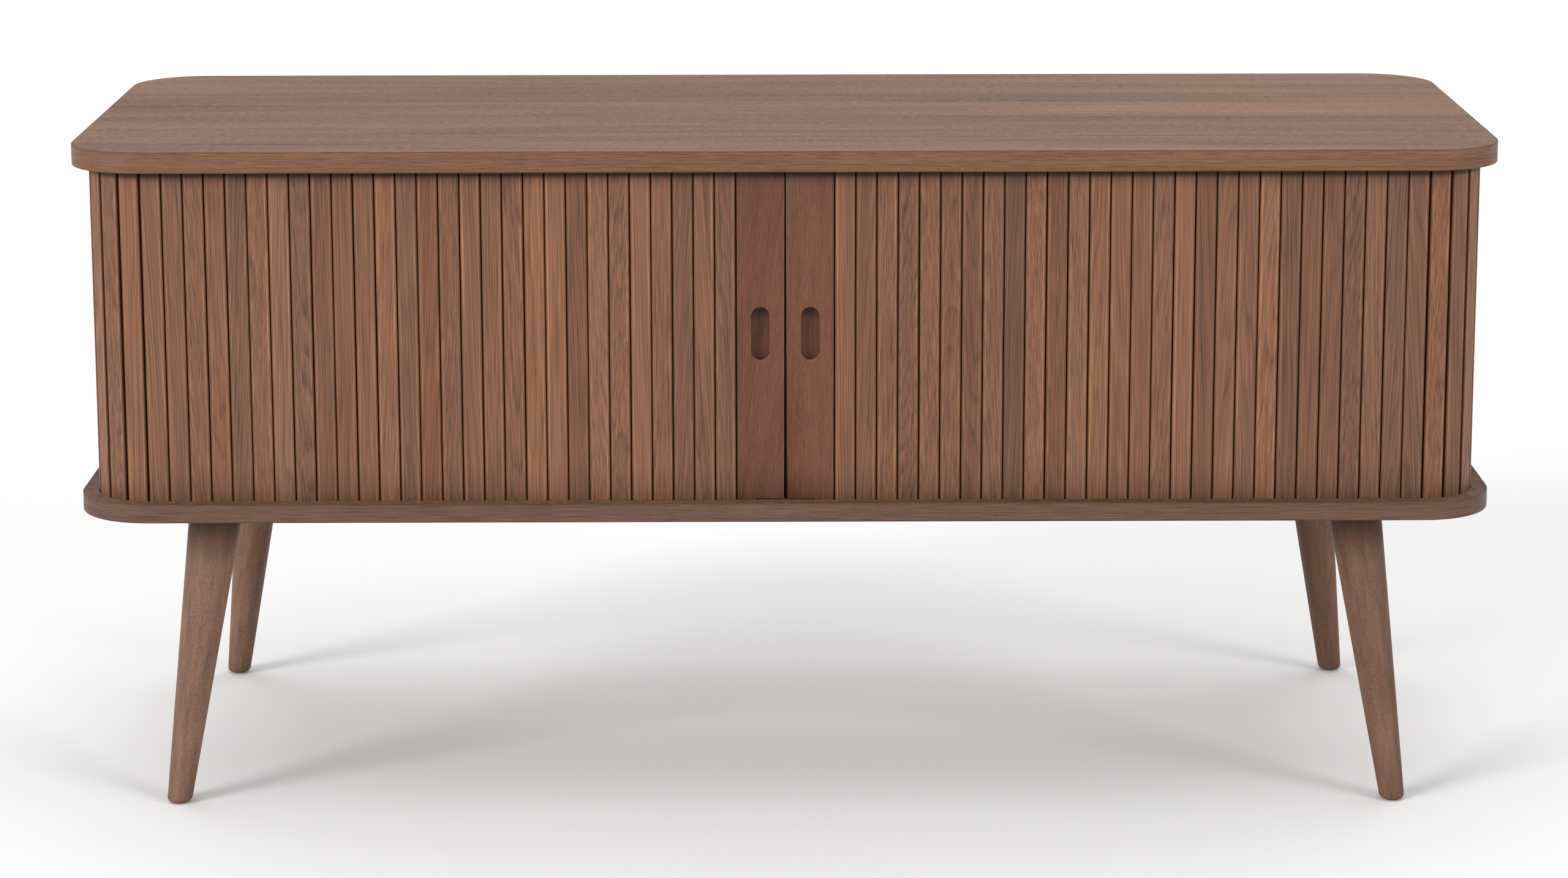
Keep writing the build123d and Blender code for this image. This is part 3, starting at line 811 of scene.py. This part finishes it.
def edge_band(name, node, low, high, material, start):
    """The veneer band round a board. Its grain follows the edge, from a start along the log."""
    outline = plan_outline(high.x, high.y)
    section = band_section(low.z, high.z)
    points, grain, tone = [], [], []
    for x, y, nx, ny, along in outline:
        for inset, z, shade in section:
            points.append((x - nx * inset, y - ny * inset, z))
            grain.append((along + start, z, inset))
            tone.append((shade, shade, shade))
    faces = tube_faces(0, len(section), len(outline))
    mesh = build_mesh(name, points, faces, {"grain": grain, "tone": tone})
    finish_piece(name, mesh, "carcass", "veneer_edge", material, node)


edge_band("top_edge_veneer", "top_edge_band", top_low, top_high, EDGE, start=3.7)
edge_band("bottom_edge_veneer", "bottom_edge_band", bottom_low, bottom_high, LOW_EDGE, start=8.1)

# Legs ------------------------------------------------------------------------------------------

LEG_STEPS = 64
LEG_ROWS = 36
FOOT_ROUNDING = 4.0 * MM
FOOT_ROWS = 8
# Painted light on the left legs and painted shade on the right legs
PAINTED_LEG_LIGHTING = {-1: (1.04, 1.04, 1.04), 1: (0.81, 0.77, 0.72)}
LEG_LOG_PLACES = ((0, 9), (-0.05, 0.05), (-0.05, 0.05))


def leg_profile(length, radius_low, radius_high):
    """(share of the height, radius) from the foot's rounding up a straight taper."""
    profile = []
    for step in range(FOOT_ROWS):
        angle = step / FOOT_ROWS * math.pi / 2
        share = FOOT_ROUNDING * (1 - math.cos(angle)) / length
        tuck = FOOT_ROUNDING * (1 - math.sin(angle))
        profile.append((share, radius_low + (radius_high - radius_low) * share - tuck))
    first_share = FOOT_ROUNDING / length
    for step in range(LEG_ROWS + 1):
        share = first_share + (1 - first_share) * step / LEG_ROWS
        profile.append((share, radius_low + (radius_high - radius_low) * share))
    return profile


def leg_mesh(name, node, side, end, draw):
    """A round leg with a straight taper, leaning out to its corner, with a rounded foot."""
    low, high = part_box(node)
    plate_low, plate_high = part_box(f"{node}_plate")
    foot = Vector((side * GLIDE_CENTRE.x, end * GLIDE_CENTRE.y, low.z))
    head = (plate_low + plate_high) / 2
    head.z = high.z
    radius_low = abs(high.x if side > 0 else low.x) - abs(foot.x)
    radius_high = abs(head.x) - abs(low.x if side > 0 else high.x)
    along, across, inside = [draw.uniform(*reach) for reach in LEG_LOG_PLACES]
    profile = leg_profile(head.z - foot.z, radius_low, radius_high)
    points, grain = [], []
    for share, radius in profile:
        centre = foot.lerp(head, share)
        for i in range(LEG_STEPS):
            angle = i * math.tau / LEG_STEPS
            x, y = radius * math.cos(angle), radius * math.sin(angle)
            points.append((centre.x + x, centre.y + y, centre.z))
            grain.append((centre.z + along, x + across, y + inside))
    faces = tube_faces(0, LEG_STEPS, len(profile)) + end_faces(0, LEG_STEPS, len(profile))
    # The legs' tone is painted light and shade by side
    tone = [PAINTED_LEG_LIGHTING[side]] * len(points)
    return build_mesh(name, points, faces, {"grain": grain, "tone": tone})


for end_name, end in ENDS.items():
    for side_name, side in SIDES.items():
        node = f"{end_name}_{side_name}_leg"
        name = f"{end_name}_{side_name}_turned_leg"
        mesh = leg_mesh(name, node, side, end, draw)
        finish_piece(name, mesh, "carcass", "leg_wood", LEG, node)

# Boards and stiles with eased edges ------------------------------------------------------------

MERGE_DISTANCE = 0.01 * MM
FLAT_ANGLE = math.radians(1)
EASE_ANGLE = math.radians(40)
EASE_SEGMENTS = 3
STILE_EASE = 0.9 * MM
BOARD_EASE = 0.5 * MM
GAP_AT_FLOOR = 0.9 * MM
LEAN_REACH = 0.6 * STILE_REACH


def eased_copy(name, node, body, slot, material, width, reshape=None):
    """A piece with the CAD node's shape and softly eased edges."""
    mesh = frame["nodes"][node].data.copy()
    build = bmesh.new()
    build.from_mesh(mesh)
    bmesh.ops.remove_doubles(build, verts=build.verts, dist=MERGE_DISTANCE)
    bmesh.ops.dissolve_limit(build, angle_limit=FLAT_ANGLE, verts=build.verts, edges=build.edges)
    if reshape:
        for vertex in build.verts:
            vertex.co = reshape(vertex.co)
    build.to_mesh(mesh)
    build.free()
    piece = finish_piece(name, mesh, body, slot, material, node)
    bevel = piece.modifiers.new("ease", "BEVEL")
    bevel.width = width
    bevel.segments = EASE_SEGMENTS
    bevel.limit_method = "ANGLE"
    bevel.angle_limit = EASE_ANGLE
    bevel.use_clamp_overlap = True
    bevel.harden_normals = True
    mesh.shade_smooth()


def leaning_edge(side):
    """A reshaping: the closing edge leans back a little towards the floor, as on a real door."""

    def move(place):
        inner = 1 - min(abs(place.x) / LEAN_REACH, 1)
        share = (CEILING_Z - place.z) / (CEILING_Z - FLOOR_Z)
        return Vector((place.x + side * GAP_AT_FLOOR * share * inner, place.y, place.z))

    return move


for side_name, side in SIDES.items():
    eased_copy(
        f"{side_name}_lead_stile",
        f"{side_name}_stile",
        f"{side_name}_door",
        "stile_walnut",
        STILES[side_name],
        STILE_EASE,
        leaning_edge(side),
    )
    for part, material in (("inner_side", PANEL_Z), ("shelf", PANEL_X)):
        node = f"{side_name}_{part}"
        eased_copy(f"{node}_board", node, "carcass", "carcass_board", material, BOARD_EASE)
eased_copy("partition_board", "centre_partition", "carcass", "carcass_board", PANEL_Z, BOARD_EASE)

# CAD nodes that stay ---------------------------------------------------------------------------

CAD_FINISH = {
    "top_panel": TOP,
    "bottom_panel": BOTTOM,
    "inner_back": PANEL_X,
    "outer_back_panel": BACK,
    "rear_spacer": RAW,
    "panel_dowels": RAW,
    "inner_cable_grommet": BLACK,
    "outer_cable_grommet": BLACK,
    "foot_glides": GLIDE,
    "threaded_inserts": BRASS,
    "panel_screws": ZINC,
    "cam_locks": ZINC,
    "cam_bolts": ZINC,
    "back_screws": ZINC,
    "leg_plate_screws": ZINC,
    "hanger_bolts": ZINC,
    "left_shelf_pins": ZINC,
    "right_shelf_pins": ZINC,
}
CAD_FINISH.update({f"{end}_{side}_leg_plate": BLACK_STEEL for end in ENDS for side in SIDES})
for node, material in CAD_FINISH.items():
    mesh = frame["nodes"][node].data
    mesh.materials.clear()
    mesh.materials.append(material)

# Floor, light and camera -----------------------------------------------------------------------

FLOOR_REACH = 40.0
FLOOR_COLOUR = (0.70, 0.70, 0.70, 1)
WORLD_STRENGTH = 0.45
LAMP_DISTANCE = 4

# Azimuth, elevation, strength and spread, in degrees but for the strength. Azimuth 0 is straight
# in front, and 90 is from the right
LAMPS = {
    "key": (-50, 19, 2.85, 24),
    "fill": (50, 19, 1.70, 24),
    "overhead": (0, 90, 1.5, 70),
    "back_left": (-140, 35, 0.5, 40),
    "back_right": (140, 35, 0.5, 40),
}

# Sensor and lens in millimetres, place in metres, and turns in radians
SENSOR = 36.0
LENS = 92.33
SHIFT_UP = -0.1
CAMERA_PLACE = (-0.0106, -3.5149, 1.0916)
CAMERA_PAN = -0.0029
CAMERA_DIP = -0.1898
CAMERA_ROLL = 0.0018


def pale_floor():
    """The plain floor that the cabinet stands on."""
    mesh = bpy.data.meshes.new("floor")
    corners = [(x * FLOOR_REACH, y * FLOOR_REACH, 0) for x, y in ((-1, -1), (1, -1), (1, 1), (-1, 1))]
    mesh.from_pydata(corners, [], [(0, 1, 2, 3)])
    floor = bpy.data.objects.new("floor", mesh)
    bpy.context.scene.collection.objects.link(floor)
    material, _, shader = new_material("pale_floor")
    shader.inputs["Base Color"].default_value = FLOOR_COLOUR
    shader.inputs["Roughness"].default_value = 0.9
    mesh.materials.append(material)
    return floor


def studio_world():
    """Even white light from all round."""
    world = bpy.data.worlds.new("studio")
    bpy.context.scene.world = world
    world.use_nodes = True
    background = world.node_tree.nodes["Background"]
    background.inputs["Color"].default_value = (1, 1, 1, 1)
    background.inputs["Strength"].default_value = WORLD_STRENGTH


def soft_light(name, azimuth, elevation, strength, spread_angle):
    """Soft light from far away."""
    lamp = bpy.data.lights.new(name, "SUN")
    lamp.energy = strength
    lamp.angle = math.radians(spread_angle)
    holder = bpy.data.objects.new(name, lamp)
    turn, rise = math.radians(azimuth), math.radians(elevation)
    level = math.cos(rise)
    source = Vector((math.sin(turn) * level, -math.cos(turn) * level, math.sin(rise)))
    holder.rotation_euler = source.to_track_quat("Z", "Y").to_euler()
    holder.location = source * LAMP_DISTANCE
    bpy.context.scene.collection.objects.link(holder)


def front_camera():
    """A long lens in front of the cabinet, a little above it."""
    camera = bpy.data.objects.new("camera", bpy.data.cameras.new("camera"))
    camera.data.sensor_width = SENSOR
    camera.data.lens = LENS
    camera.data.shift_y = SHIFT_UP
    camera.matrix_world = (
        Matrix.Translation(CAMERA_PLACE)
        @ Matrix.Rotation(CAMERA_PAN, 4, "Z")
        @ Matrix.Rotation(CAMERA_DIP, 4, "X")
        @ Matrix.Rotation(CAMERA_ROLL, 4, "Y")
        @ Matrix.Rotation(math.pi / 2, 4, "X")
    )
    bpy.context.scene.collection.objects.link(camera)
    return camera


floor = pale_floor()
studio_world()
for name, setting in LAMPS.items():
    soft_light(name, *setting)
bpy.context.scene.view_settings.view_transform = "Standard"
camera = front_camera()
bpy.context.scene.camera = camera
